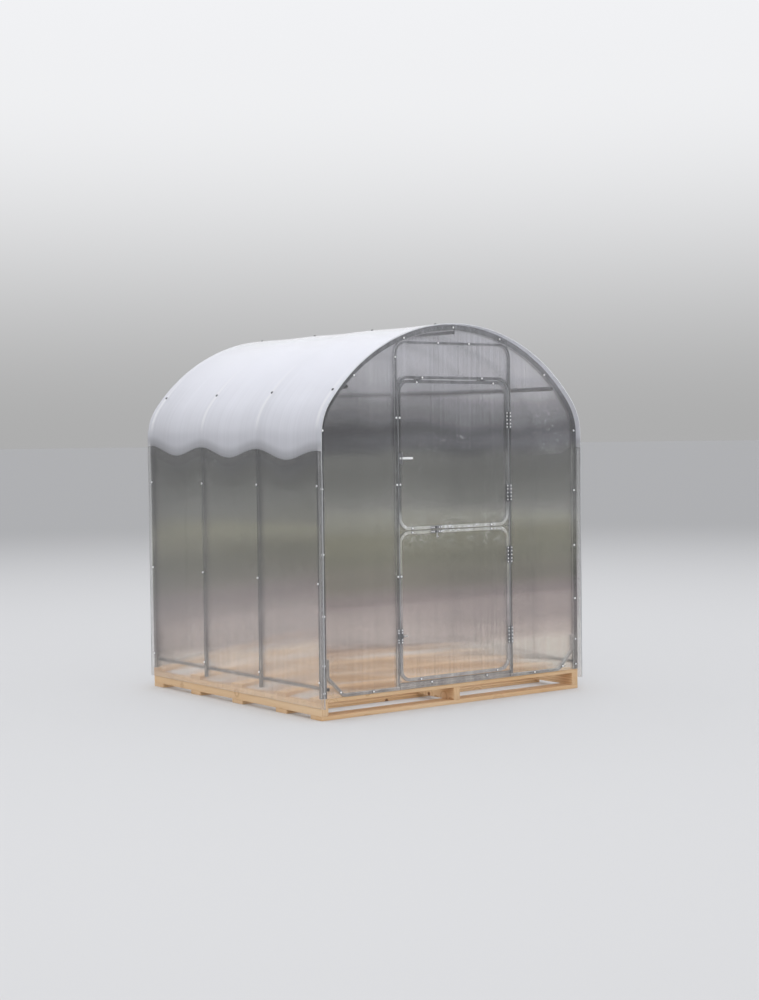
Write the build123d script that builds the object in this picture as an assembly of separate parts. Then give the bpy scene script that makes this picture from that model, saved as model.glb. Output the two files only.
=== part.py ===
from build123d import *
from math import atan2, cos, degrees, radians, sin, sqrt
import os

# An arched garden greenhouse, covered in clear twin-wall sheet on a frame of galvanised tubes,
# standing on a timber pallet. Millimetres. The origin is on the ground under the middle.
# X runs across the width, Y from the door end to the far end, Z up.

# Driving dimensions of the pallet
board_thickness = 25
board_width = 120
stringer_height = 80
stringer_width = 50
pallet_tail = 12
board_places = (0, 0.2, 0.468, 0.74, 1)

# Driving dimensions of the tube frame
frame_width = 2100
frame_length = 2000
spring_height = 1710
arch_rise = 692
shoulder_radius = 343
arch_depth = 40
arch_count = 4
tube = 20
tube_wall = 2
purlin_angle = 45
side_rail_lift = 45
knee_rise = 116
knee_leg = 110
knee_bend = 45

# Driving dimensions of the door end
portal_width = 950
portal_corner = 90
lintel_rise = 346
lintel_drop = 60
split_lift = 946
leaf_gap = 6
leaf_corner = 80

# Driving dimensions of the sheets
cover_sheet = 6
gable_sheet = 4
sheet_overhang = 40
skirt = 55
gable_inset = 2
seat_gap = 0.3

# Driving dimensions of the hinges
hinge_height = 110
hinge_leaf = 18
plate_thickness = 2
knuckle_radius = 4
pin_radius = 2
knuckle_gap = 0.5
running_gap = 0.1
lower_hinge_insets = (231, 185)
upper_hinge_insets = (211, 250)

# Driving dimensions of the handle and the two bolts
handle_lift = 1395
handle_length = 88
handle_width = 14
handle_thickness = 5
handle_standoff = 3
spindle_radius = 4
nut_radius = 8
nut_thickness = 5
pull_height = 72
pull_width = 8
pull_standoff = 24
pull_thickness = 4
bolt_radius = 4
bolt_slack = 0.5
bolt_length = 46
bolt_tail = 3
knob_radius = 3
knob_height = 9
staple_length = 12
staple_wall = 2
bolt_plate_height = 90
side_bolt_lift = 293
leaf_bolt_shift = -157

# Driving dimensions of the screws through the cover
washer_radius = 8
washer_thickness = 2
head_radius = 4.5
head_height = 3.5
wall_screw_lifts = (101, 694, 1279)
roof_screw_angles = (6.3, 50)

# Heights and places that follow from the driving dimensions
deck = 2 * board_thickness + stringer_height
half_width = frame_width / 2
half_length = frame_length / 2
arch_top = spring_height + arch_rise
leg_inside = half_width - arch_depth
arch_pitch = (frame_length - tube) / (arch_count - 1)
arch_middles = [tube / 2 - half_length + arch_pitch * i for i in range(arch_count)]
sill_top = deck + 2 * tube
lintel_bottom = spring_height + lintel_rise
doorway_height = lintel_bottom - sill_top
door_split = sill_top + split_lift
door_edge = portal_width / 2 - tube
leaf_edge = door_edge - leaf_gap
lower_leaf_span = (sill_top + leaf_gap, door_split - leaf_gap / 2)
upper_leaf_span = (door_split + leaf_gap / 2, lintel_bottom - leaf_gap)
gable_front = -half_length - gable_sheet

# The arch line is three arcs, the crown and two shoulders, which meet without a corner
shoulder_x = half_width - shoulder_radius
crown_rise = arch_rise - shoulder_radius
crown_radius = shoulder_radius + (shoulder_x**2 + crown_rise**2) / (2 * crown_rise)
crown_z = arch_top - crown_radius
join_angle = degrees(atan2(spring_height - crown_z, shoulder_x))

os.makedirs("parts", exist_ok=True)


def save(name, *solids):
    """Write one named piece of the greenhouse, made of one or more solids that don't touch."""
    piece = Compound(children=list(solids)) if len(solids) > 1 else solids[0]
    export_step(piece, f"parts/{name}.step")


def block(x, y, z):
    """A square-edged solid between two limits along each axis, in either order."""
    low = [min(pair) for pair in (x, y, z)]
    size = [max(pair) - min(pair) for pair in (x, y, z)]
    return Pos(*low) * Box(*size, align=(Align.MIN, Align.MIN, Align.MIN))


def upright(profile, front, depth):
    """A profile drawn as width by height, stood up and carried back from front by depth."""
    return extrude(Plane.XZ.offset(-front) * profile, amount=depth, dir=(0, 1, 0))


def under_arch(grow, foot):
    """The face under the arch line, moved outwards by grow, down to the height foot."""
    half = half_width + grow
    radius = shoulder_radius + grow
    right = CenterArc((shoulder_x, spring_height), radius, 0, join_angle)
    crown = CenterArc((0, crown_z), crown_radius + grow, join_angle, 180 - 2 * join_angle)
    left = CenterArc((-shoulder_x, spring_height), radius, 180 - join_angle, join_angle)
    legs = Polyline((-half, spring_height), (-half, foot), (half, foot), (half, spring_height))
    return make_face((right + crown + left + legs).edges())


def on_arch(angle, y, grow):
    """The place at Y y, moved outwards from the arch line by grow, where the line leans by angle.

    The angle is from upright, with plus to the right.
    """
    side = 1 if angle > 0 else -1
    on_shoulder = abs(angle) > 90 - join_angle
    middle = (side * shoulder_x, spring_height) if on_shoulder else (0, crown_z)
    reach = (shoulder_radius if on_shoulder else crown_radius) + grow
    x = middle[0] + reach * sin(radians(angle))
    z = middle[1] + reach * cos(radians(angle))
    return Pos(x, y, z) * Rot(0, angle, 0)


def bent_tube(points, bend, middle):
    """A square tube bent to a path of width and height points, with its middle at Y middle."""
    path = FilletPolyline(*[(x, middle, z) for x, z in points], radius=bend)
    section = Plane(path @ 0, x_dir=(0, 1, 0), z_dir=path % 0) * Rectangle(tube, tube)
    return sweep(section, path=path)


def make_pallet():
    """Three stringers between two layers of boards laid across them."""
    back = half_length + pallet_tail
    first = board_width / 2 - half_length
    last = back - board_width / 2
    board_middles = [first + (last - first) * place for place in board_places]
    top_of_stringers = board_thickness + stringer_height
    left_edges = (-half_width, -stringer_width / 2, half_width - stringer_width)
    stringers = [
        block((x, x + stringer_width), (-half_length, back), (board_thickness, top_of_stringers))
        for x in left_edges
    ]
    save("pallet_stringers", *stringers)
    layers = (("pallet_bottom_boards", 0), ("pallet_top_boards", top_of_stringers))
    for name, low in layers:
        boards = [
            block(
                (-half_width, half_width),
                (y - board_width / 2, y + board_width / 2),
                (low, low + board_thickness),
            )
            for y in board_middles
        ]
        save(name, *boards)


def make_arches():
    """Bent tube arches on edge, from the deck over the crown and back down."""
    names = ("front_arch", "second_arch", "third_arch", "rear_arch")
    band = under_arch(0, deck) - under_arch(-arch_depth, deck - 1)
    for name, middle in zip(names, arch_middles):
        save(name, upright(band, middle - tube / 2, tube))


def make_rails():
    """Purlins and side rails, open tubes that run the whole length inside the arches."""
    bore = tube - 2 * tube_wall
    rail = Box(tube, frame_length, tube) - Box(bore, frame_length + tube, bore)
    seat = -arch_depth - seat_gap - tube / 2
    for name, angle in (("left", -purlin_angle), ("ridge", 0), ("right", purlin_angle)):
        save(f"{name}_purlin", on_arch(angle, 0, seat) * rail)
    low_z = deck + side_rail_lift + tube / 2
    for name, side in (("left", -1), ("right", 1)):
        save(f"{name}_side_rail", Pos(side * (leg_inside - tube / 2), 0, low_z) * rail)


def make_gable_tubes():
    """The ground rail with its turned-up ends and the rounded portal, at both ends."""
    rail_z = deck + tube / 2
    knee_x = leg_inside - tube / 2
    right_half = [
        (knee_x - knee_rise, rail_z),
        (knee_x, rail_z + knee_rise),
        (knee_x, rail_z + knee_rise + knee_leg),
    ]
    rail_path = [(-x, z) for x, z in reversed(right_half)] + right_half
    # The portal's rounded corners nest against the inside of the arch
    corner_x = portal_width / 2 - portal_corner
    reach = crown_radius - arch_depth - seat_gap - portal_corner
    portal_top = crown_z + sqrt(reach**2 - corner_x**2) + portal_corner
    foot = deck + tube
    leg_x = portal_width / 2 - tube / 2
    bar_z = portal_top - tube / 2
    portal_path = [(-leg_x, foot), (-leg_x, bar_z), (leg_x, bar_z), (leg_x, foot)]
    for name, middle in (("front", arch_middles[0]), ("rear", arch_middles[-1])):
        save(f"{name}_ground_rail", bent_tube(rail_path, knee_bend, middle))
        save(f"{name}_portal", bent_tube(portal_path, portal_corner - tube / 2, middle))
    # The lintel's ends bend down round the leaf's corners and are cut off along the portal's legs
    across = (-door_edge, door_edge)
    depth = (-half_length, tube - half_length)
    lintel_z = lintel_bottom + tube / 2
    lintel_path = [(-leg_x, sill_top), (-leg_x, lintel_z), (leg_x, lintel_z), (leg_x, sill_top)]
    lintel = bent_tube(lintel_path, leaf_corner + leaf_gap + tube / 2, arch_middles[0])
    save("door_lintel", lintel & block(across, depth, (lintel_bottom - lintel_drop, lintel_bottom + tube)))
    save("door_sill", block(across, depth, (foot, sill_top)))


def make_cover():
    """The sheet bent over the arches, with its two straight walls as pieces of their own."""
    reach = half_length + sheet_overhang
    inner = half_width + seat_gap
    outer = inner + cover_sheet
    for name, side in (("left", -1), ("right", 1)):
        wall = block((side * inner, side * outer), (-reach, reach), (deck - skirt, spring_height))
        save(f"{name}_wall_sheet", wall)
    band = under_arch(seat_gap + cover_sheet, deck) - under_arch(seat_gap, deck - 1)
    above = Pos(0, spring_height) * Rectangle(3 * half_width, 3 * half_width, align=(Align.CENTER, Align.MIN))
    save("roof_sheet", upright(band & above, -reach, 2 * reach))


def make_gable_sheets():
    """Flat sheets on the ends, cut round the doorway at the front."""
    foot = deck + gable_inset
    whole = under_arch(-gable_inset, foot)
    side_width = half_width - door_edge
    tall = arch_top - foot
    left_part = Pos(-door_edge, foot) * Rectangle(side_width, tall, align=(Align.MAX, Align.MIN))
    right_part = Pos(door_edge, foot) * Rectangle(side_width, tall, align=(Align.MIN, Align.MIN))
    corner = leaf_corner + leaf_gap
    low_align = (Align.CENTER, Align.MIN)
    over_part = Pos(0, lintel_bottom - lintel_drop) * Rectangle(2 * door_edge, tall, align=low_align)
    doorway = RectangleRounded(2 * door_edge, doorway_height, corner)
    over_part -= Pos(0, lintel_bottom - doorway_height / 2) * doorway
    save("front_sheet_left", upright(whole & left_part, gable_front, gable_sheet))
    save("front_sheet_right", upright(whole & right_part, gable_front, gable_sheet))
    save("front_sheet_over_door", upright(whole & over_part, gable_front, gable_sheet))
    front = (gable_front, -half_length)
    save("front_sheet_sill", block((-door_edge, door_edge), front, (foot, sill_top)))
    save("rear_sheet", upright(whole, half_length, gable_sheet))


hinge_x = door_edge - leaf_gap / 2
hinge_y = gable_front - knuckle_radius
plate_front = gable_front - plate_thickness


def knuckle(low, high, radius):
    """A round piece on the hinge line between two heights."""
    height = high - low
    return Pos(hinge_x, hinge_y, low) * Cylinder(radius, height, align=(Align.CENTER, Align.CENTER, Align.MIN))


def hinge_plate(side, low, high, notches):
    """A hinge's flat leaf on one side of the hinge line, notched where the other half turns."""
    far = hinge_x + side * (leaf_gap / 2 + 1 + hinge_leaf)
    plate = block((hinge_x, far), (plate_front, gable_front), (low, high))
    room = knuckle_radius + knuckle_gap
    for start, end in notches:
        cut = (start - knuckle_gap / 2, end + knuckle_gap / 2)
        plate -= block((hinge_x - room, hinge_x + room), (plate_front - 1, gable_front + 1), cut)
    return plate


def fixed_half(middle):
    """The half on the portal: two knuckles, the pin and a leaf."""
    low = middle - hinge_height / 2
    third = hinge_height / 3
    plate = hinge_plate(1, low, low + hinge_height, [(low + third, low + 2 * third)])
    lower = knuckle(low, low + third - knuckle_gap / 2, knuckle_radius)
    upper = knuckle(low + 2 * third + knuckle_gap / 2, low + hinge_height, knuckle_radius)
    return plate + lower + upper + knuckle(low, low + hinge_height, pin_radius)


def moving_half(middle):
    """The half on the door leaf: one bored knuckle and a leaf."""
    low = middle - hinge_height / 2
    third = hinge_height / 3
    notches = [(low - 1, low + third), (low + 2 * third, low + hinge_height + 1)]
    plate = hinge_plate(-1, low, low + hinge_height, notches)
    barrel = knuckle(low + third + knuckle_gap / 2, low + 2 * third - knuckle_gap / 2, knuckle_radius)
    return plate + barrel - knuckle(low, low + hinge_height, pin_radius + running_gap)


def hinge_middles(span, insets):
    """The heights of a leaf's two hinges, each set in from its own end of the leaf."""
    return [span[0] + insets[0], span[1] - insets[1]]


def make_hinges():
    """Four butt hinges laid on the sheets at the right of the doorway."""
    lower = hinge_middles(lower_leaf_span, lower_hinge_insets)
    upper = hinge_middles(upper_leaf_span, upper_hinge_insets)
    save("fixed_hinge_halves", *[fixed_half(z) for z in lower + upper])
    save("lower_leaf_hinge_halves", *[moving_half(z) for z in lower])
    save("upper_leaf_hinge_halves", *[moving_half(z) for z in upper])


handle_x = tube / 2 - leaf_edge
handle_z = sill_top + handle_lift
spindle_hole = (
    Pos(handle_x, -half_length, handle_z)
    * Rot(90, 0, 0)
    * Cylinder(spindle_radius + running_gap, 6 * tube)
)


def leaf_ring(low, high):
    """A door leaf's tube, bent to a ring with rounded corners."""
    width = 2 * leaf_edge
    outside = RectangleRounded(width, high - low, leaf_corner)
    inside = RectangleRounded(width - 2 * tube, high - low - 2 * tube, leaf_corner - tube)
    ring = Pos(0, (low + high) / 2) * (outside - inside)
    return upright(ring, -half_length, tube)


def make_leaves():
    """The upper and lower door leaf, each a tube ring with a sheet on its front."""
    front = (gable_front, -half_length)
    spans = {
        "lower": lower_leaf_span,
        "upper": upper_leaf_span,
    }
    for name, (low, high) in spans.items():
        sheet = block((-leaf_edge, leaf_edge), front, (low, high))
        if name == "upper":
            sheet = fillet(sheet.edges().filter_by(Axis.Y).group_by(Axis.Z)[-1], leaf_corner)
        save(f"{name}_leaf_tube", leaf_ring(low, high) - spindle_hole)
        save(f"{name}_leaf_sheet", sheet - spindle_hole)


def make_handle():
    """A bow pull with a turning lever behind it, whose spindle passes through the leaf."""
    front = gable_front
    left = -leaf_edge + 1
    pull_low = handle_z - pull_height / 2
    pull_high = handle_z + pull_height / 2
    strip = block((left, left + hinge_leaf), (front - plate_thickness, front), (pull_low, pull_high))
    bow_x = (left, left + pull_width)
    bow_y = (front - pull_standoff - pull_thickness, front)
    bow = block(bow_x, bow_y, (pull_low, pull_high))
    room_y = (front - pull_standoff, front + 1)
    room_z = (pull_low + pull_thickness, pull_high - pull_thickness)
    bow -= block((left - 1, left + pull_width + 1), room_y, room_z)
    save("door_pull", strip + bow - spindle_hole)
    lever_y = front - plate_thickness - handle_standoff - handle_thickness
    hub = Circle(handle_width / 2)
    arm = Pos(handle_length / 2, 0) * SlotOverall(handle_length + handle_width, handle_width)
    lever = upright(Pos(handle_x, handle_z) * (hub + arm), lever_y, handle_thickness)
    nut_y = tube - half_length + seat_gap
    turn = Pos(handle_x, 0, handle_z) * Rot(-90, 0, 0)
    low_align = (Align.CENTER, Align.CENTER, Align.MIN)
    spindle_length = nut_y + nut_thickness - lever_y
    spindle = Pos(0, lever_y, 0) * turn * Cylinder(spindle_radius, spindle_length, align=low_align)
    nut = upright(Pos(handle_x, handle_z) * RegularPolygon(nut_radius, 6), nut_y, nut_thickness)
    save("handle_lever", lever + spindle + nut)


def bolt_set():
    """A bolt that slides along -X across the gap at X 0, with its keeper and its holder.

    Both plates lie flat on the sheet at Y 0, each along its own side of the gap, and each
    carries a staple that the bolt runs through.
    """
    room = bolt_radius + bolt_slack
    middle_y = -plate_thickness - room
    staple_front = middle_y - room - staple_wall
    hole = block((-bolt_length, bolt_length), (middle_y - room, -plate_thickness), (-room, room))
    pieces = []
    for side in (-1, 1):
        edge = side * leaf_gap / 2
        plate_x = (edge + side, edge + side * (1 + hinge_leaf))
        plate = block(plate_x, (-plate_thickness, 0), (-bolt_plate_height / 2, bolt_plate_height / 2))
        staple_x = (edge + 4 * side, edge + (4 + staple_length) * side)
        staple_z = (-room - staple_wall, room + staple_wall)
        staple = block(staple_x, (staple_front, -plate_thickness), staple_z)
        pieces.append(plate + (staple - hole))
    keeper, holder = pieces
    tip = leaf_gap / 2 + 1
    bolt = Pos(tip, middle_y, 0) * Rot(0, 90, 0) * Cylinder(
        bolt_radius, bolt_length, align=(Align.CENTER, Align.CENTER, Align.MIN)
    )
    knob_x = tip + bolt_length - bolt_tail - knob_radius
    knob = Pos(knob_x, middle_y, 0) * Rot(90, 0, 0) * Cylinder(
        knob_radius, bolt_radius + knob_height, align=(Align.CENTER, Align.CENTER, Align.MIN)
    )
    return keeper, holder, bolt + knob


def make_bolts():
    """One bolt holds the lower leaf to the portal, the other holds the two leaves together."""
    side_place = Pos(leaf_gap / 2 - door_edge, gable_front, sill_top + side_bolt_lift)
    names = ("side_bolt_keeper", "side_bolt_holder", "side_bolt")
    for name, piece in zip(names, bolt_set()):
        save(name, side_place * piece)
    leaf_place = Pos(leaf_bolt_shift, gable_front, door_split) * Rot(0, 90, 0)
    names = ("leaf_bolt_keeper", "leaf_bolt_holder", "leaf_bolt")
    for name, piece in zip(names, bolt_set()):
        save(name, leaf_place * piece)


def make_cover_screws():
    """Rows of hexagon screws with washers, through the cover into each arch."""
    washer = Cylinder(washer_radius, washer_thickness, align=(Align.CENTER, Align.CENTER, Align.MIN))
    screw = washer + extrude(RegularPolygon(head_radius, 6), amount=washer_thickness + head_height)
    cover_out = seat_gap + cover_sheet
    for name, side in (("left", -1), ("right", 1)):
        wall = [
            Pos(side * (half_width + cover_out), y, deck + lift) * Rot(0, side * 90, 0) * screw
            for y in arch_middles
            for lift in wall_screw_lifts
        ]
        save(f"{name}_wall_screws", *wall)
    roof = [
        on_arch(side * angle, y, cover_out) * screw
        for y in arch_middles
        for angle in roof_screw_angles
        for side in (-1, 1)
    ]
    save("roof_screws", *roof)


make_pallet()
make_arches()
make_rails()
make_gable_tubes()
make_cover()
make_gable_sheets()
make_hinges()
make_leaves()
make_handle()
make_bolts()
make_cover_screws()
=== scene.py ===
"""The looks of an arched greenhouse: clear twin-wall sheet on galvanised tubes, on a timber pallet."""
from math import atan2, cos, exp, pi, radians, sin

import bmesh
import bpy
from mathutils import Matrix, Vector, noise


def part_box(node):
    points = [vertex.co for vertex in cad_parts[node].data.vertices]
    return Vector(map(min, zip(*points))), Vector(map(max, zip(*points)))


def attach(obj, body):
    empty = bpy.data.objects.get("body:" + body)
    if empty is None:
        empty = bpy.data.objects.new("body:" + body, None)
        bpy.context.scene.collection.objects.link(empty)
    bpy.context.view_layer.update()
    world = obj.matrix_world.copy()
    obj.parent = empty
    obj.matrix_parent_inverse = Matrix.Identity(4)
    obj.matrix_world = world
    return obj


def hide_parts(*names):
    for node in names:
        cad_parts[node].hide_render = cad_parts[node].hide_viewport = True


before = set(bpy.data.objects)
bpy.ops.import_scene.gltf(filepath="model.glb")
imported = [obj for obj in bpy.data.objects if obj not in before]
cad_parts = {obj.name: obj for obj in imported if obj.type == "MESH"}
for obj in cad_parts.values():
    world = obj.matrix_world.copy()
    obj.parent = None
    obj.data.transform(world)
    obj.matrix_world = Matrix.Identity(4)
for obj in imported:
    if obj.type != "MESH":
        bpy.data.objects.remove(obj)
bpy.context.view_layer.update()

scene = bpy.context.scene
noise.seed_set(5)  # Without a seed the noise vectors differ from run to run

# Places and sizes in metres, as on the frame: X to the right of the door, Y to the far end, Z up
gable_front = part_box("front_sheet_left")[0].y
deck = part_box("pallet_top_boards")[1].z
door_split = (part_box("lower_leaf_sheet")[1].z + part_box("upper_leaf_sheet")[0].z) / 2
# The top of the painted reflection on the fronts of the door's tubes
painted_reflection_top = door_split + 0.12
arch_places = [sum(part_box(f"{name}_arch"), Vector()).y / 2 for name in ("front", "second", "third", "rear")]
bay = arch_places[1] - arch_places[0]
sheet_wave = 0.0009
same_point, on_plane, flat_angle = 0.00001, 0.00002, 0.4
# How much of a face's normal lies along an axis when the face counts as square to it, or as mostly so
square_on, mostly_on = 0.9, 0.7

# The line of the cover's outer face: two legs, two shoulders and the crown
cover_thickness = 0.006
roof_low, roof_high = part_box("roof_sheet")
cover_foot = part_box("left_wall_sheet")[0].z
spring = roof_low.z
shoulder_radius = 0.3493
shoulder_x = roof_high.x - shoulder_radius
crown_rise = roof_high.z - spring - shoulder_radius
crown_radius = shoulder_radius + (shoulder_x**2 + crown_rise**2) / (2 * crown_rise)
crown_z = roof_high.z - crown_radius
join_angle = atan2(spring - crown_z, shoulder_x)
crown_arc = crown_radius * (pi / 2 - join_angle)
shoulder_arc = shoulder_radius * join_angle
half_girth = crown_arc + shoulder_arc + spring - cover_foot

# The lower edge of the cover's white part, a painted reflection: its height at mid-length, its rise along Y,
# its dip in each bay
painted_white_height, painted_white_rise, painted_white_dip = 1.64, 0.02, 0.06


def bays_along(y):
    """How many bays a place along Y lies behind the front arch."""
    return (y - arch_places[0]) / bay


def painted_white_edge(y):
    """The height on the cover's legs, at a place along Y, down to which the sheet carries its painted white
    reflection.
    """
    return painted_white_height + painted_white_rise * y - painted_white_dip * sin(pi * bays_along(y)) ** 2


# ---- Node trees ----
def feed(socket, value):
    """Joins a socket to another one, or sets it to a plain value. Plain colours are opaque."""
    if isinstance(value, bpy.types.NodeSocket):
        socket.id_data.links.new(value, socket)
    else:
        socket.default_value = (*value, 1) if socket.type == "RGBA" else value


def add(tree, kind, inputs=None, **settings):
    """A new node with its settings and with its inputs, by name or number."""
    node = tree.nodes.new(kind)
    for name, value in settings.items():
        setattr(node, name, value)
    for name, value in (inputs or {}).items():
        feed(node.inputs[name], value)
    return node


def reckon(tree, operation, *values):
    """The output of a Math node."""
    return add(tree, "ShaderNodeMath", dict(enumerate(values)), operation=operation).outputs[0]


def vector_reckon(tree, operation, *values):
    """The output of a Vector Math node."""
    return add(tree, "ShaderNodeVectorMath", dict(enumerate(values)), operation=operation).outputs[0]


def product(tree, first, *others):
    """Several values times each other."""
    for other in others:
        first = reckon(tree, "MULTIPLY", first, other)
    return first


def weighed(tree, share, first, second):
    """A share of the first value and the rest of the second."""
    return reckon(tree, "MULTIPLY_ADD", first, share, reckon(tree, "MULTIPLY", second, 1 - share))


def parted(tree, vector):
    """The X, Y and Z of a vector."""
    return add(tree, "ShaderNodeSeparateXYZ", {"Vector": vector}).outputs[0:3]


def joined(tree, x=0.0, y=0.0, z=0.0):
    """A vector of three values."""
    return add(tree, "ShaderNodeCombineXYZ", {0: x, 1: y, 2: z}).outputs[0]


def fade(tree, value, low, high, start=0.0, end=1.0):
    """Takes a value from start to end while it goes from low to high, with soft ends."""
    numbers = {"Value": value, "From Min": low, "From Max": high, "To Min": start, "To Max": end}
    return add(tree, "ShaderNodeMapRange", numbers, interpolation_type="SMOOTHSTEP").outputs[0]


def mix_colours(tree, share, first, second, mode="MIX"):
    """Goes from the first colour to the second as share goes from 0 to 1."""
    node = add(tree, "ShaderNodeMix", data_type="RGBA", blend_type=mode)
    for number, value in ((0, share), (6, first), (7, second)):
        feed(node.inputs[number], value)
    return node.outputs[2]


def cloud(tree, vector, scale, detail=3.0):
    """The value of a noise pattern."""
    return add(tree, "ShaderNodeTexNoise", {"Vector": vector, "Scale": scale, "Detail": detail}).outputs[0]


def new_group(name, inputs, outputs):
    """An empty shader node group with named sockets, and the sockets inside it."""
    tree = bpy.data.node_groups.new(name, "ShaderNodeTree")
    for title, kind, value in inputs:
        socket = tree.interface.new_socket(title, in_out="INPUT", socket_type=f"NodeSocket{kind}")
        if value is not None:
            socket.default_value = value
    for title, kind in outputs:
        tree.interface.new_socket(title, in_out="OUTPUT", socket_type=f"NodeSocket{kind}")
    return tree, tree.nodes.new("NodeGroupInput").outputs, tree.nodes.new("NodeGroupOutput").inputs


def place_group(tree, group, **values):
    """A node group placed in a material. The sockets are named with underscores for spaces."""
    node = add(tree, "ShaderNodeGroup", node_tree=group)
    for name, value in values.items():
        feed(node.inputs[name.replace("_", " ")], value)
    return node.outputs


def soft_streaks(tree, vector, fineness, low=0.3, high=0.7):
    """The value of the group of soft streaks."""
    return place_group(tree, groups["streaks"], Vector=vector, Fineness=fineness, Low=low, High=high)[0]


def streak_group():
    """Soft streaks: a noise that is stretched by a fineness along each axis."""
    inputs = [
        ("Vector", "Vector", None), ("Fineness", "Vector", (1, 1, 1)),
        ("Low", "Float", 0.3), ("High", "Float", 0.7),
    ]
    tree, given, made = new_group("Soft Streaks", inputs, [("Value", "Float")])
    stretched = vector_reckon(tree, "MULTIPLY", given["Vector"], given["Fineness"])
    feed(made["Value"], fade(tree, cloud(tree, stretched, 1.0), given["Low"], given["High"]))
    return tree


def flute_group():
    """Twin-wall sheet: upright webs at a pitch along X, and the uneven tone that they give."""
    inputs = [("Vector", "Vector", None), ("Pitch", "Float", 0.006)]
    tree, given, made = new_group("Twin Wall Flutes", inputs, [("Height", "Float"), ("Tone", "Float")])
    stray, stray_fineness, fine_share = 0.003, (40, 0.8, 0.8), 0.45
    uneven = cloud(tree, vector_reckon(tree, "MULTIPLY", given["Vector"], stray_fineness), 1.0)
    across = reckon(tree, "MULTIPLY_ADD", uneven, stray, parted(tree, given["Vector"])[0])
    turns = reckon(tree, "DIVIDE", across, given["Pitch"])
    wave = reckon(tree, "SINE", reckon(tree, "MULTIPLY", turns, 2 * pi))
    feed(made["Height"], reckon(tree, "MULTIPLY_ADD", wave, 0.5, 0.5))
    wide = soft_streaks(tree, given["Vector"], (26, 0.5, 0.5))
    fine = soft_streaks(tree, given["Vector"], (95, 0.8, 0.8), 0.35, 0.65)
    feed(made["Tone"], weighed(tree, fine_share, fine, wide))
    return tree


def handling_group():
    """Marks of handling on a clear sheet: fine slanting scratches and dusty smudges, in patches."""
    tree, given, made = new_group("Handling Marks", [("Vector", "Vector", None)], [("Value", "Float")])
    place = given["Vector"]
    # Each kind of scratch with its lean in degrees, its fineness, and the noise at which it sets in
    slants = ((38, 52, 0.69), (-27, 44, 0.71), (71, 48, 0.7))
    fineness_along, softness = 2.2, 0.03
    marks = []
    for lean, fineness, low in slants:
        slant = {"Vector": place, "Rotation": (radians(lean), radians(lean), 0)}
        along = add(tree, "ShaderNodeMapping", slant).outputs[0]
        along = vector_reckon(tree, "MULTIPLY", along, (fineness, fineness, fineness_along))
        marks.append(fade(tree, cloud(tree, along, 1.0, 1.0), low, low + softness))
    scratches = reckon(tree, "MAXIMUM", marks[0], reckon(tree, "MAXIMUM", marks[1], marks[2]))
    patch_scale, smudge_scale, smudge_strength, strength = 2.6, 24.0, 0.15, 0.5
    patches = fade(tree, cloud(tree, place, patch_scale, 1.0), 0.56, 0.7)
    smudges = fade(tree, cloud(tree, place, smudge_scale, 5.0), 0.6, 0.72, 0.0, smudge_strength)
    feed(made["Value"], product(tree, patches, reckon(tree, "MAXIMUM", scratches, smudges), strength))
    return tree


def zinc_group():
    """Hot-dip zinc: spangle, drawn streaks and pale bloom."""
    inputs = [
        ("Vector", "Vector", None), ("Spangle", "Float", 120.0), ("Bloom", "Float", 0.4),
        ("Dark", "Color", (0.25, 0.26, 0.28, 1)), ("Light", "Color", (0.5, 0.51, 0.53, 1)),
    ]
    outputs = [("Colour", "Color"), ("Roughness", "Float"), ("Height", "Float")]
    tree, given, made = new_group("Zinc Coat", inputs, outputs)
    bloom_colour, cell_share = (0.62, 0.63, 0.64), 0.35
    roughness, bloom_roughness, light_gloss, cell_height = 0.46, 0.3, -0.14, 0.4
    cells = add(tree, "ShaderNodeTexVoronoi", {"Vector": given["Vector"], "Scale": given["Spangle"]})
    cell_tone = add(tree, "ShaderNodeSeparateColor", {"Color": cells.outputs["Color"]}).outputs[0]
    patches = soft_streaks(tree, given["Vector"], (14, 14, 5), 0.35, 0.68)
    tone = weighed(tree, cell_share, cell_tone, patches)
    metal = mix_colours(tree, tone, given["Dark"], given["Light"])
    bloom = product(tree, soft_streaks(tree, given["Vector"], (38, 38, 22), 0.52, 0.7), given["Bloom"])
    feed(made["Colour"], mix_colours(tree, bloom, metal, bloom_colour))
    rough = reckon(tree, "MULTIPLY_ADD", bloom, bloom_roughness, roughness)
    feed(made["Roughness"], reckon(tree, "MULTIPLY_ADD", tone, light_gloss, rough))
    feed(made["Height"], reckon(tree, "MULTIPLY_ADD", cell_tone, cell_height, patches))
    return tree


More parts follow.
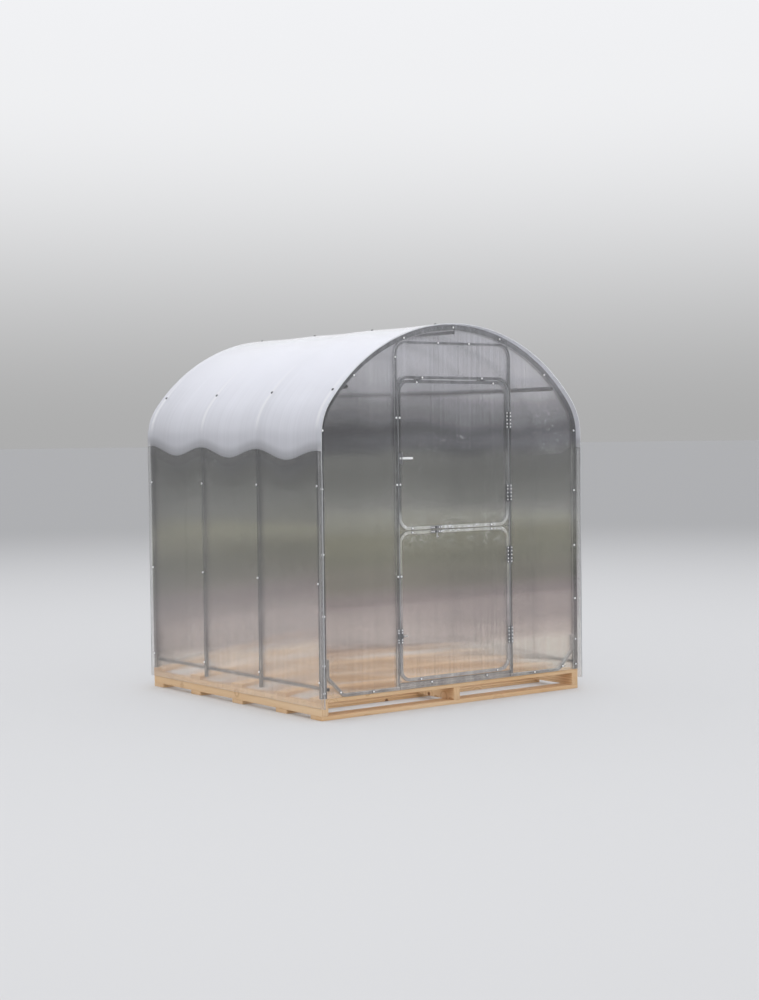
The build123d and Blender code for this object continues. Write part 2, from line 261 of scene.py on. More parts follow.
def pine_group():
    """Sawn pine with its length along X: rings, fibres and knots, different on each board."""
    inputs = [("Vector", "Vector", None), ("Board", "Float", 0.0), ("Ring Fineness", "Float", 40.0)]
    outputs = [("Colour", "Color"), ("Roughness", "Float"), ("Height", "Float")]
    tree, given, made = new_group("Sawn Pine", inputs, outputs)
    pale_wood, gold_wood, late_wood = (0.83, 0.63, 0.41), (0.74, 0.5, 0.27), (0.5, 0.285, 0.125)
    fibre_wood, knot_wood = (0.88, 0.71, 0.52), (0.22, 0.1, 0.045)
    step_along, step_of_pith, pith_depth, pith_sway = 3.71, 0.053, 0.035, 0.022
    knots_in_a_metre, ring_shift, late_share, fibre_share = 5, 0.02, 0.7, 0.25
    roughness, late_gloss = 0.72, -0.12

    moved = vector_reckon(
        tree, "ADD", given["Vector"], joined(tree, x=reckon(tree, "MULTIPLY", given["Board"], step_along)),
    )
    bend = cloud(tree, vector_reckon(tree, "MULTIPLY", moved, (0.6, 3, 3)), 1.0, 2.0)
    lean = reckon(tree, "MULTIPLY_ADD", bend, pith_sway, pith_depth)
    pith = joined(tree, y=reckon(tree, "MULTIPLY", given["Board"], step_of_pith), z=lean)
    ringed = vector_reckon(tree, "ADD", moved, pith)
    in_knots = vector_reckon(tree, "MULTIPLY", moved, (knots_in_a_metre,) * 3)
    from_knot = add(tree, "ShaderNodeTexVoronoi", {"Vector": in_knots, "Scale": 1.0}).outputs["Distance"]
    knot = fade(tree, from_knot, 0.04, 0.09, 1.0, 0.0)
    around = fade(tree, from_knot, 0.05, 0.3, ring_shift, 0.0)
    ringed = vector_reckon(tree, "ADD", ringed, joined(tree, y=around, z=around))
    ring_inputs = {
        "Vector": ringed, "Scale": given["Ring Fineness"],
        "Distortion": 0.9, "Detail": 2.0, "Detail Scale": 0.6,
    }
    rings = add(
        tree, "ShaderNodeTexWave", ring_inputs, wave_type="RINGS", rings_direction="X", wave_profile="SAW",
    ).outputs["Fac"]
    late = fade(tree, rings, 0.45, 1.0)
    fibre = soft_streaks(tree, moved, (9, 420, 420))
    wood = mix_colours(tree, soft_streaks(tree, moved, (1.1, 9, 9)), pale_wood, gold_wood)
    wood = mix_colours(tree, reckon(tree, "MULTIPLY", late, late_share), wood, late_wood)
    wood = mix_colours(tree, reckon(tree, "MULTIPLY", fibre, fibre_share), wood, fibre_wood)
    feed(made["Colour"], mix_colours(tree, knot, wood, knot_wood))
    feed(made["Roughness"], reckon(tree, "MULTIPLY_ADD", late, late_gloss, roughness))
    feed(made["Height"], reckon(tree, "SUBTRACT", weighed(tree, 0.5, fibre, late), knot))
    return tree


groups = {}
groups["streaks"] = streak_group()
groups["flutes"] = flute_group()
groups["handling"] = handling_group()
groups["zinc"] = zinc_group()
groups["pine"] = pine_group()


# ---- Materials ----
def new_material(name, **settings):
    """A material with its Principled shader set by socket names, with underscores for spaces."""
    material = bpy.data.materials.new(name)
    material.use_nodes = True
    shader = material.node_tree.nodes["Principled BSDF"]
    for title, value in settings.items():
        shader.inputs[title.replace("_", " ")].default_value = value
    return material, material.node_tree, shader


def object_place(tree, turn=0.0):
    """Object coordinates, turned about Z by some degrees."""
    place = add(tree, "ShaderNodeTexCoord").outputs["Object"]
    return add(tree, "ShaderNodeMapping", {"Vector": place, "Rotation": (0, 0, radians(turn))}).outputs[0]


def bumped(tree, shader, height, depth):
    """Gives a shader the relief of a height between 0 and 1, depth metres deep."""
    bump = add(tree, "ShaderNodeBump", {"Height": height, "Distance": depth, "Strength": 1.0})
    feed(shader.inputs["Normal"], bump.outputs[0])


def let_lamps_through(material):
    """Rays on their way to a lamp, and soft bounced light, pass the sheet straight."""
    tree = material.node_tree
    output = tree.nodes["Material Output"]
    surface = output.inputs["Surface"].links[0].from_socket
    path = add(tree, "ShaderNodeLightPath").outputs
    clear = add(tree, "ShaderNodeBsdfTransparent", {"Color": (1, 1, 1)}).outputs[0]
    for kind in ("Is Diffuse Ray", "Is Shadow Ray"):
        surface = add(tree, "ShaderNodeMixShader", {0: path[kind], 1: surface, 2: clear}).outputs[0]
    feed(output.inputs["Surface"], surface)


def between_arches(tree, along):
    """0 on an arch and 1 halfway to the next."""
    bays = reckon(tree, "DIVIDE", reckon(tree, "SUBTRACT", along, arch_places[0]), bay)
    wave = reckon(tree, "SINE", reckon(tree, "MULTIPLY", bays, pi))
    return reckon(tree, "MULTIPLY", wave, wave)


def painted_reflection_by_height(tree, stops, high_tint, place, sways, bent):
    """A painted reflection and shade, in grey: it changes with height, through stops of height and tone, and
    sways low down and high up.

    On the bent sheet the painted bands follow its white edge, lower halfway between the arches, and it is
    painted a little darker towards its far end and paler past the gables. A flat sheet is painted darker on
    the left and lighter on the right.
    """
    low_sway, high_sway = sways
    ramp_top, drift_fineness = 2.5, (2.2, 2.2, 1.0)
    far_shade, left_shade, right_shade = 0.88, 0.88, 1.07
    past_gable, past_gable_share = (0.9, 0.9, 0.9), 0.8
    across, along, height = parted(tree, place)
    if bent:
        sag = product(tree, fade(tree, height, 1.4, 1.6, 0.1, painted_white_dip), fade(tree, height, 1.2, 1.45))
        slope = fade(tree, height, 0.9, 1.3, 0.13, -painted_white_rise)
        height = reckon(tree, "MULTIPLY_ADD", between_arches(tree, along), sag, height)
        height = reckon(tree, "MULTIPLY_ADD", along, slope, height)
    drift = cloud(tree, vector_reckon(tree, "MULTIPLY", place, drift_fineness), 1.0, 1.5)
    sway = fade(tree, height, 1.2, 1.6, 2 * low_sway, 2 * high_sway)
    height = reckon(tree, "MULTIPLY_ADD", reckon(tree, "SUBTRACT", drift, 0.5), sway, height)

    ramp = add(tree, "ShaderNodeValToRGB", {0: reckon(tree, "DIVIDE", height, ramp_top)})
    ramp.color_ramp.interpolation = "EASE"
    points = ramp.color_ramp.elements
    while len(points) < len(stops):
        points.new(0.5)
    for point, (up, tone) in zip(points, stops):
        tint = next((tint for top, tint in low_tints if up < top), high_tint)
        point.position = up / ramp_top
        point.color = (*(tone * share for share in tint), 1)

    if bent:
        shade = fade(tree, along, 0.3, 1.0, 1.0, far_shade)
    else:
        left = fade(tree, across, -0.9, -0.35, left_shade, 1.0)
        shade = product(tree, left, fade(tree, across, 0.4, 0.6, 1.0, right_shade))
    shade = add(tree, "ShaderNodeCombineColor", {0: shade, 1: shade, 2: shade}).outputs[0]
    tone = mix_colours(tree, 1.0, ramp.outputs["Color"], shade, "MULTIPLY")
    if not bent:
        return tone
    out, gable = reckon(tree, "ABSOLUTE", along), abs(gable_front)
    beyond = fade(tree, out, gable - 0.004, gable + 0.006, 0.0, past_gable_share)
    beyond = product(tree, beyond, fade(tree, height, 1.6, 1.7, 1.0, 0.0))
    return mix_colours(tree, beyond, tone, past_gable)


def painted_arch_highlights(tree, along, height):
    """A painted highlight where an arch lies under the milky roof, strongest on the roof's sides."""
    half_width, strength, strength_on_top = 0.009, 0.6, 0.2
    ridge = fade(tree, between_arches(tree, along), 0.0, half_width, strength, 0.0)
    upwards = fade(tree, height, 1.72, 1.84), fade(tree, height, 1.95, 2.2, 1.0, strength_on_top)
    return product(tree, ridge, *upwards)


def dust_at_split(tree, place, across, along, height):
    """Specks of dust, in clusters, on the front of the door near the split between its leaves."""
    specks = soft_streaks(tree, place, (56, 56, 84), 0.49, 0.55)
    clusters = soft_streaks(tree, place, (9, 9, 22), 0.44, 0.58)
    away = reckon(tree, "ABSOLUTE", reckon(tree, "SUBTRACT", height, door_split))
    near_split = fade(tree, away, 0.05, 0.15, 1.0, 0.0)
    on_door = fade(tree, reckon(tree, "ABSOLUTE", across), 0.4, 0.45, 1.0, 0.0)
    in_front = reckon(tree, "LESS_THAN", along, 0.0)
    return product(tree, specks, clusters, near_split, on_door, in_front)


def sheet_material(name, stops, high_tint, sways, bent=False, milky=False, dusty=False):
    """Twin-wall sheet, grey and glossy, blurred across its flutes.

    The milky sheet of the roof has painted highlights along the arches, and its streaks fade towards the top.
    The clear ones carry marks of handling.
    """
    turn, pitch = (90.0, 0.0061) if bent else (0.0, 0.0057)
    clearness, roughness, depth = (0.52, 0.3, 0.0003) if milky else (0.96, 0.008, 0.0004)
    streak_tone, flute_roughness = 0.91, 0.012
    material, tree, shader = new_material(
        name, Transmission_Weight=clearness, IOR=1.5, Coat_Weight=1.0, Coat_IOR=1.5, Coat_Roughness=0.05,
    )
    place = object_place(tree)
    across, along, height = parted(tree, place)
    flutes = place_group(tree, groups["flutes"], Vector=object_place(tree, turn), Pitch=pitch)
    # The base colour carries the painted reflection and shade by height
    tone = painted_reflection_by_height(tree, stops, high_tint, place, sways, bent)
    if milky:
        evenness = reckon(tree, "MAXIMUM", flutes["Tone"], fade(tree, height, 1.9, 2.2, 0.0, 0.8))
        # On the roof the marks are painted highlights along the arches
        marks = painted_arch_highlights(tree, along, height)
    else:
        evenness = flutes["Tone"]
        marks = place_group(tree, groups["handling"], Vector=place)[0]
        feed(shader.inputs["Coat Weight"], fade(tree, height, 0.14, 0.6, 0.0, 1.0))
    if dusty:
        marks = reckon(tree, "MAXIMUM", marks, dust_at_split(tree, place, across, along, height))
    streaks = mix_colours(tree, evenness, (streak_tone,) * 3, (1, 1, 1))
    tone = mix_colours(tree, 1.0, tone, streaks, "MULTIPLY")
    feed(shader.inputs["Base Color"], mix_colours(tree, marks, tone, (1, 1, 1)))
    feed(shader.inputs["Roughness"], reckon(tree, "MULTIPLY_ADD", flutes["Tone"], flute_roughness, roughness))
    bumped(tree, shader, flutes["Height"], depth)
    let_lamps_through(material)
    return material


def cut_edge_material(name, lift):
    """The milky cut edge of a twin-wall sheet, with painted light that makes it whiter on the roof. A lift
    makes it whiter low down.
    """
    material, tree, shader = new_material(name, Roughness=0.35, Coat_Weight=0.5)
    place = object_place(tree)
    tone = soft_streaks(tree, place, (160, 160, 160))
    tone = reckon(tree, "MULTIPLY_ADD", tone, 0.3, fade(tree, parted(tree, place)[2], 1.5, 2.0, lift, 0.7))
    feed(shader.inputs["Base Color"], mix_colours(tree, tone, (0.2, 0.2, 0.205), (0.85, 0.86, 0.88)))
    return material


def zinc_material(name, spangle, bloom, dark, light, metallic=0.75):
    """Galvanised or zinc-plated steel."""
    material, tree, shader = new_material(name, Metallic=metallic)
    zinc = place_group(
        tree, groups["zinc"], Vector=object_place(tree), Spangle=spangle, Bloom=bloom, Dark=dark, Light=light,
    )
    feed(shader.inputs["Base Color"], zinc["Colour"])
    feed(shader.inputs["Roughness"], zinc["Roughness"])
    bumped(tree, shader, zinc["Height"], zinc_relief)
    return material


def painted_reflection_tube_material():
    """Zinc painted white on the fronts of the door's tubes, a painted reflection, most round the split."""
    material, tree, shader = new_material("painted_reflection_door_tube", Metallic=0.15, Roughness=0.5)
    place = object_place(tree)
    across, _, height = parted(tree, place)
    zinc = place_group(
        tree, groups["zinc"], Vector=place, Spangle=110.0, Bloom=0.5, Dark=(0.16, 0.16, 0.17),
        Light=(0.45, 0.45, 0.46),
    )
    rising = fade(tree, height, 0.4, 0.9, 0.15, 0.8)
    below_top = fade(tree, height, painted_reflection_top - 0.07, painted_reflection_top, 1.0, 0.1)
    off_sides = fade(tree, reckon(tree, "ABSOLUTE", across), 0.4, 0.435, 1.0, 0.5)
    white = product(tree, rising, below_top, off_sides)
    feed(shader.inputs["Base Color"], mix_colours(tree, white, zinc["Colour"], (0.97, 0.98, 1.0)))
    bumped(tree, shader, zinc["Height"], zinc_relief)
    return material


def pine_material(name, turn, fineness, shade):
    """Sawn pine, its length along X, or along Y when it is turned, with its colour times a shade, which on
    the deck is painted light.
    """
    material, tree, shader = new_material(name)
    board = add(tree, "ShaderNodeAttribute", attribute_name="board").outputs["Fac"]
    pine = place_group(
        tree, groups["pine"], Vector=object_place(tree, turn), Board=board, Ring_Fineness=fineness
    )
    feed(shader.inputs["Base Color"], mix_colours(tree, 1.0, pine["Colour"], shade, "MULTIPLY"))
    feed(shader.inputs["Roughness"], pine["Roughness"])
    bumped(tree, shader, pine["Height"], pine_relief)
    return material


def rubber_material():
    """The dark sealing ring under a screw's washer, wider than the washer, so that it is also a painted
    shadow round the screw.
    """
    material, tree, shader = new_material("sealing_ring_and_painted_shadow", Roughness=0.6)
    tone = cloud(tree, object_place(tree), 900.0)
    feed(shader.inputs["Base Color"], mix_colours(tree, tone, (0.02, 0.02, 0.022), (0.06, 0.06, 0.062)))
    return material


zinc_relief, pine_relief = 0.0002, 0.0006

# Painted reflection and shade for the sheets: tints by height, each up to its own, and then stops of height
# and tone for the three kinds of sheet
wood_tint, warm_tint, earthy_tint = (1.02, 0.96, 0.9), (1.08, 0.975, 0.94), (1.01, 0.99, 0.84)
plain_tint, cool_tint, sky_tint = (1.0, 1.0, 0.95), (0.955, 0.955, 0.98), (0.93, 0.94, 1.0)
low_tints = ((0.36, wood_tint), (0.8, warm_tint), (1.15, earthy_tint), (1.6, plain_tint))
wall_painted_tones = (
    (0.1, 1.0), (0.3, 1.0), (0.4, 0.66), (0.54, 0.67), (0.62, 0.57), (0.68, 0.49), (0.82, 0.43),
    (0.96, 0.45), (1.12, 0.65), (1.22, 0.51), (1.42, 0.44), (1.52, 0.34), (1.6, 0.35), (1.64, 0.36),
)
roof_painted_tones = ((1.63, 0.34), (1.665, 0.53), (1.715, 0.77), (1.84, 0.84), (2.1, 0.97), (2.3, 1.0))
gable_painted_tones = (
    (0.12, 1.0), (0.34, 0.97), (0.43, 0.69), (0.64, 0.68), (0.69, 0.54), (0.8, 0.5), (0.9, 0.61),
    (1.05, 0.72), (1.2, 0.84), (1.32, 0.66), (1.45, 0.59), (1.56, 0.62), (1.66, 0.42), (1.74, 0.31),
    (1.82, 0.5), (1.9, 0.6), (2.0, 0.9), (2.12, 1.0),
)
wall_sheet = sheet_material("clear_wall_sheet", wall_painted_tones, cool_tint, (0.02, 0.01), bent=True)
roof_sheet = sheet_material("milky_roof_sheet_painted_reflection", roof_painted_tones, sky_tint, (0.01, 0.01), bent=True, milky=True)
gable_sheet = sheet_material("clear_gable_sheet", gable_painted_tones, cool_tint, (0.012, 0.1), dusty=True)
cut_edge = cut_edge_material("cut_sheet_edge", 0.25)
pale_edge = cut_edge_material("pale_door_sheet_edge", 0.7)
arch_zinc = zinc_material("galvanised_arch", 95.0, 0.25, (0.13, 0.133, 0.14), (0.27, 0.275, 0.285))
tube_zinc = zinc_material("galvanised_tube", 130.0, 0.45, (0.14, 0.143, 0.15), (0.33, 0.335, 0.345))
rail_zinc = zinc_material("weathered_tube", 110.0, 0.9, (0.28, 0.28, 0.29), (0.6, 0.6, 0.62))
# Painted shade: the purlins are painted darker, for the shadow under the roof
purlin_painted_shade_zinc = zinc_material("painted_shade_purlin", 110.0, 0.2, (0.06, 0.06, 0.065), (0.14, 0.14, 0.145))
# The rolled corners of the tubes are painted bright: a painted highlight
corner_painted_highlight_zinc = zinc_material("painted_highlight_corner", 130.0, 0.3, (0.5, 0.5, 0.51), (0.85, 0.85, 0.86))
plate_zinc = zinc_material("zinc_plate", 420.0, 0.15, (0.13, 0.13, 0.135), (0.32, 0.32, 0.33), 0.8)
# Near white: the lever's own white, and on the screw heads a painted glint
white_zinc_and_painted_glint = zinc_material("white_zinc_and_painted_glint", 600.0, 0.1, (0.95, 0.95, 0.95), (1.0, 1.0, 1.0), 0.1)
bolt_zinc = zinc_material("dull_bolt", 600.0, 0.1, (0.4, 0.4, 0.4), (0.55, 0.55, 0.55), 0.15)
painted_reflection_zinc = painted_reflection_tube_material()
# Painted shade inside the open ends of the purlins and side rails
bore_painted_shade = zinc_material("painted_shade_bore", 90.0, 0.0, (0.03, 0.03, 0.032), (0.07, 0.07, 0.072), 0.3)
deck_pine_painted_light = pine_material("pine_deck_painted_light", 0.0, 42.0, (1.14, 1.12, 1.12))
board_pine = pine_material("pine_boards", 0.0, 42.0, (0.92, 0.86, 0.8))
stringer_pine = pine_material("pine_stringers", -90.0, 24.0, (0.94, 0.89, 0.84))
seal_rubber_and_painted_shadow = rubber_material()


# ---- Pieces ----
def shade_smoothly(bm, angle=32.0):
    """Smooth faces with crisp lines where they meet at more than an angle."""
    for face in bm.faces:
        face.smooth = True
    for edge in bm.edges:
        edge.smooth = len(edge.link_faces) == 2 and edge.calc_face_angle() < radians(angle)


def as_mesh(bm, name):
    """A worked shape as a mesh, with its working copy let go."""
    mesh = bpy.data.meshes.new(name)
    bm.to_mesh(mesh)
    bm.free()
    return mesh


def finish_piece(bm, name, body, materials, replaced=()):
    """Puts a worked shape in the scene, on its body, in place of the frame's own nodes."""
    shade_smoothly(bm)
    mesh = as_mesh(bm, name)
    for material in materials:
        mesh.materials.append(material)
    piece = bpy.data.objects.new(name, mesh)
    scene.collection.objects.link(piece)
    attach(piece, body)
    if replaced:
        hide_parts(*replaced)


def copied(node):
    """A merged copy of a node's shape, to be worked on."""
    bm = bmesh.new()
    bm.from_mesh(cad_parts[node].data)
    bmesh.ops.remove_doubles(bm, verts=bm.verts, dist=same_point)
    bmesh.ops.dissolve_limit(bm, angle_limit=radians(flat_angle), verts=bm.verts, edges=bm.edges)
    return bm


def round_edges(bm, radius, segments=2, angle=40.0):
    """Rounds every edge where faces meet at more than an angle."""
    sharp = [e for e in bm.edges if len(e.link_faces) == 2 and e.calc_face_angle() > radians(angle)]
    rounded = bmesh.ops.bevel(
        bm, geom=sharp, offset=radius, segments=segments, profile=0.5, affect="EDGES", material=-1,
        clamp_overlap=True,
    )
    return rounded["faces"]


def cut_at(bm, axis, place):
    """Cuts a shape by a plane across one axis."""
    point, facing = Vector(), Vector()
    point[axis], facing[axis] = place, 1.0
    geom = bm.verts[:] + bm.edges[:] + bm.faces[:]
    bmesh.ops.bisect_plane(bm, geom=geom, dist=on_plane, plane_co=point, plane_no=facing)


def cut_evenly(bm, axis, low, high, step):
    """Cuts a shape by planes at even steps along one axis, to give it points that can move."""
    count = round((high - low) / step)
    for i in range(1, count):
        cut_at(bm, axis, low + (high - low) * i / count)


def cover_place(girth):
    """Place and outward direction, as X and Z, on the cover's line so far round from its crown."""
    side = 1 if girth > 0 else -1
    run = abs(girth)
    if run < crown_arc:
        angle = pi / 2 - run / crown_radius
        place = Vector((0, crown_z)) + Vector((cos(angle), sin(angle))) * crown_radius
    elif run < crown_arc + shoulder_arc:
        angle = join_angle - (run - crown_arc) / shoulder_radius
        place = Vector((shoulder_x, spring)) + Vector((cos(angle), sin(angle))) * shoulder_radius
    else:
        angle = 0.0
        place = Vector((roof_high.x, spring - (run - crown_arc - shoulder_arc)))
    return Vector((side * place.x, place.y)), Vector((side * cos(angle), sin(angle)))


def swell(drop, most, width):
    """A soft hump in the sheet, 1 where it is most."""
    return exp(-(((drop - most) / width) ** 2))


def stand_off(drop, y):
    """How far the bent sheet stands off its line, drop metres below the spring line."""
    bays = bays_along(y)
    between = sin(pi * bays) ** 2 if 0 < bays < len(arch_places) - 1 else 0.0
    at_arch = 0.0026 * swell(drop, 0.135, 0.075)
    mid_bay = 0.0042 * swell(drop, 0.205, 0.105)
    low_wave = 0.0012 * sin(pi * drop / 0.58) ** 2 if drop > 0.3 else 0.0
    roof_sag = -0.0028 * min(1.0, max(0.0, -drop / 0.18))
    return at_arch * (1 - between) + (mid_bay + low_wave + roof_sag) * between


def make_cover():
    """One sheet bent over all four arches, which stands off a little between them.

    A line of its grid on each leg follows the painted white edge, where the sheet changes to the roof's milky
    sheet with its painted reflection.
    """
    round_parts, long_parts = 200, 80
    wall, edge, roof = 0, 1, 2
    bm = bmesh.new()
    bmesh.ops.create_grid(bm, x_segments=round_parts, y_segments=long_parts, size=0.5)
    for vert in bm.verts:
        y = roof_low.y + (roof_high.y - roof_low.y) * (vert.co.y + 0.5)
        to_edge = half_girth - painted_white_edge(y) + cover_foot
        share = 4 * abs(vert.co.x)  # Up to 1 between the crown and the white edge, and up to 2 at the foot
        girth = share * to_edge if share < 1 else to_edge + (share - 1) * (half_girth - to_edge)
        place, outward = cover_place(girth if vert.co.x > 0 else -girth)
        on_leg = girth > crown_arc + shoulder_arc
        drop = spring - place.y if on_leg else girth - crown_arc - shoulder_arc
        place += outward * stand_off(drop, y)
        vert.co = (place.x, y, place.y)
    bmesh.ops.recalc_face_normals(bm, faces=bm.faces)
    if max(bm.faces, key=lambda face: face.calc_center_median().z).normal.z < 0:
        bmesh.ops.reverse_faces(bm, faces=bm.faces)
    bmesh.ops.solidify(bm, geom=bm.faces[:], thickness=cover_thickness)
    for face in bm.faces:
        middle = face.calc_center_median()
        at_end = abs(face.normal.y) > square_on
        at_foot = face.normal.z < -square_on and middle.z < cover_foot + 0.001
        # Faces above the painted white edge take the roof's sheet with its painted reflection
        finish = roof if middle.z > painted_white_edge(middle.y) else wall
        face.material_index = edge if at_end or at_foot else finish
    finish_piece(
        bm, "cover_sheet", "root", [wall_sheet, cut_edge, roof_sheet],
        ("roof_sheet", "left_wall_sheet", "right_wall_sheet"),
    )


def make_flat_sheets():
    """The flat sheets of the two ends and the door, gently wavy, with milky cut edges."""
    flat_sheets = {
        "front_sheet_left": "root", "front_sheet_right": "root", "front_sheet_over_door": "root",
        "front_sheet_sill": "root", "rear_sheet": "root",
        "upper_leaf_sheet": "upper_leaf", "lower_leaf_sheet": "lower_leaf",
    }
    step, waves_across, waves_up, ends_apart, mean_wave = 0.07, 1.9, 2.3, 3.0, 0.55
    for node, body in flat_sheets.items():
        low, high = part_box(node)
        outward = -1 if low.y < 0 else 1
        bm = copied(node)
        for axis in (0, 2):
            cut_evenly(bm, axis, low[axis], high[axis], step)
        for face in bm.faces:
            face.material_index = 0 if abs(face.normal.y) > mostly_on else 1
        for vert in bm.verts:
            x, _, z = vert.co
            wave = noise.noise(Vector((x * waves_across, outward * ends_apart, z * waves_up)))
            vert.co.y += outward * sheet_wave * (mean_wave + (1 - mean_wave) * wave)
        edge = cut_edge if body == "root" else pale_edge
        finish_piece(bm, f"wavy_{node}", body, [gable_sheet, edge], (node,))


def make_tubes():
    """The bent and straight tubes with their rolled corners, which are painted bright as a painted highlight.
    """
    tubes = {
        "front_arch": arch_zinc, "second_arch": arch_zinc, "third_arch": arch_zinc, "rear_arch": arch_zinc,
        "ridge_purlin": purlin_painted_shade_zinc, "left_purlin": purlin_painted_shade_zinc, "right_purlin": purlin_painted_shade_zinc,
        "left_side_rail": tube_zinc, "right_side_rail": tube_zinc,
        "front_ground_rail": rail_zinc, "rear_ground_rail": rail_zinc,
        "front_portal": tube_zinc, "rear_portal": tube_zinc, "door_sill": rail_zinc, "door_lintel": tube_zinc,
        "upper_leaf_tube": tube_zinc, "lower_leaf_tube": tube_zinc,
    }
    corner_radius, bore_reach = 0.0026, 0.0086
    outside, bore, corner, bloomed = 0, 1, 2, 3
    for node, material in tubes.items():
        bm = copied(node)
        for face in round_edges(bm, corner_radius, segments=3):
            face.material_index = corner
        # The fronts of the door's tubes below that top take the painted reflection
        if node.endswith("leaf_tube"):
            cut_at(bm, 2, painted_reflection_top)
            for face in bm.faces:
                if face.normal.y < -square_on and face.calc_center_median().z < painted_reflection_top:
                    face.material_index = bloomed
        # The bores of the purlins and side rails take the painted shade
        if node.endswith(("purlin", "side_rail")):
            middle = sum(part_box(node), Vector()) / 2
            for face in bm.faces:
                away = face.calc_center_median() - middle
                in_bore = Vector((away.x, away.z)).length < bore_reach
                face.material_index = bore if in_bore else outside
        body = node.replace("_tube", "") if node.endswith("leaf_tube") else "root"
        materials = [material, bore_painted_shade, corner_painted_highlight_zinc, painted_reflection_zinc]
        finish_piece(bm, f"rolled_{node}", body, materials, (node,))


def make_boards():
    """The pallet's boards and stringers, sawn a little unevenly, with softened edges."""
    parts = {  # Each with the axes along and across its boards
        "pallet_top_boards": (0, 1, [board_pine, deck_pine_painted_light]),
        "pallet_bottom_boards": (0, 1, [board_pine]),
        "pallet_stringers": (1, 0, [stringer_pine]),
    }
    edge_radius, step, widest_board = 0.0022, 0.045, 0.13
    numbers_apart, noise_apart, noise_fineness, unevenness = 7.0, 5.0, 17.0, 0.0006
    for seed, (node, (along, across, materials)) in enumerate(parts.items()):
        low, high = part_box(node)
        bm = copied(node)
        round_edges(bm, edge_radius)
        cut_evenly(bm, along, low[along], high[along], step)
        number = bm.verts.layers.float.new("board")
        starts = []
        for vert in sorted(bm.verts, key=lambda v: v.co[across]):
            if not starts or vert.co[across] - starts[-1] > widest_board:
                starts.append(vert.co[across])
            vert[number] = len(starts) + numbers_apart * seed
        for vert in bm.verts:
            spot = vert.co * noise_fineness + Vector((0, 0, seed * noise_apart))
            vert.co += noise.noise_vector(spot) * unevenness
            for axis in range(3):
                vert.co[axis] = min(max(vert.co[axis], low[axis]), high[axis])
        for face in bm.faces:
            # Up-facing faces of the top boards take the deck's pine with painted light, the rest the darker
            # boards' pine
            face.material_index = 1 if len(materials) > 1 and face.normal.z > mostly_on else 0
        finish_piece(bm, f"sawn_{node}", "root", materials, (node,))


def turned(profile, steps):
    """A round piece about Z, turned from a profile of radius and height pairs."""
    bm = bmesh.new()
    verts = [bm.verts.new((radius, 0, height)) for radius, height in profile]
    edges = [bm.edges.new(pair) for pair in zip(verts, verts[1:])]
    bmesh.ops.spin(
        bm, geom=verts + edges, cent=(0, 0, 0), axis=(0, 0, 1), angle=2 * pi, steps=steps, use_merge=True,
    )
    bmesh.ops.remove_doubles(bm, verts=bm.verts, dist=same_point)
    bmesh.ops.recalc_face_normals(bm, faces=bm.faces)
    return bm


def screw_shape(washer, head, tallness=1.0):
    """A dome-headed screw with a recess, on a steel washer with a sealing ring under it, whose dark rim is
    partly a painted shadow.
    """
    thick = 0.002
    profile = [
        (0, thick + 0.0018), (head * 0.42, thick + 0.0018), (head * 0.46, thick + 0.0033),
        (head * 0.72, thick + 0.0031), (head * 0.95, thick + 0.0018), (head, thick),
        (washer * 0.7, thick * 0.95), (washer * 0.74, thick * 0.85), (washer * 0.74, thick * 0.6),
        (washer * 0.92, thick * 0.55), (washer, thick * 0.3), (washer, 0), (0, 0),
    ]
    bm = turned(profile, 14)
    for face in bm.faces:
        face.material_index = 1 if face.calc_center_median().z < thick * 0.59 else 0
    bmesh.ops.scale(bm, verts=bm.verts, vec=(1, 1, tallness))
    return as_mesh(bm, "screw_shape")


def stamp(bm, mesh, place, outward):
    """Adds a copy of a small mesh with its base at a place and its Z turned outwards."""
    turn = Vector(outward).to_track_quat("Z", "Y").to_matrix().to_4x4()
    there = Matrix.Translation(place) @ turn
    mesh.transform(there)
    bm.from_mesh(mesh)
    mesh.transform(there.inverted())


def make_screw_set(name, body, shape, spots, head=white_zinc_and_painted_glint, replaced=()):
    """Screws on one body, each at a place with its outward direction."""
    bm = bmesh.new()
    for place, outward in spots:
        stamp(bm, shape, place, outward)
    finish_piece(bm, name, body, [head, seal_rubber_and_painted_shadow], replaced)


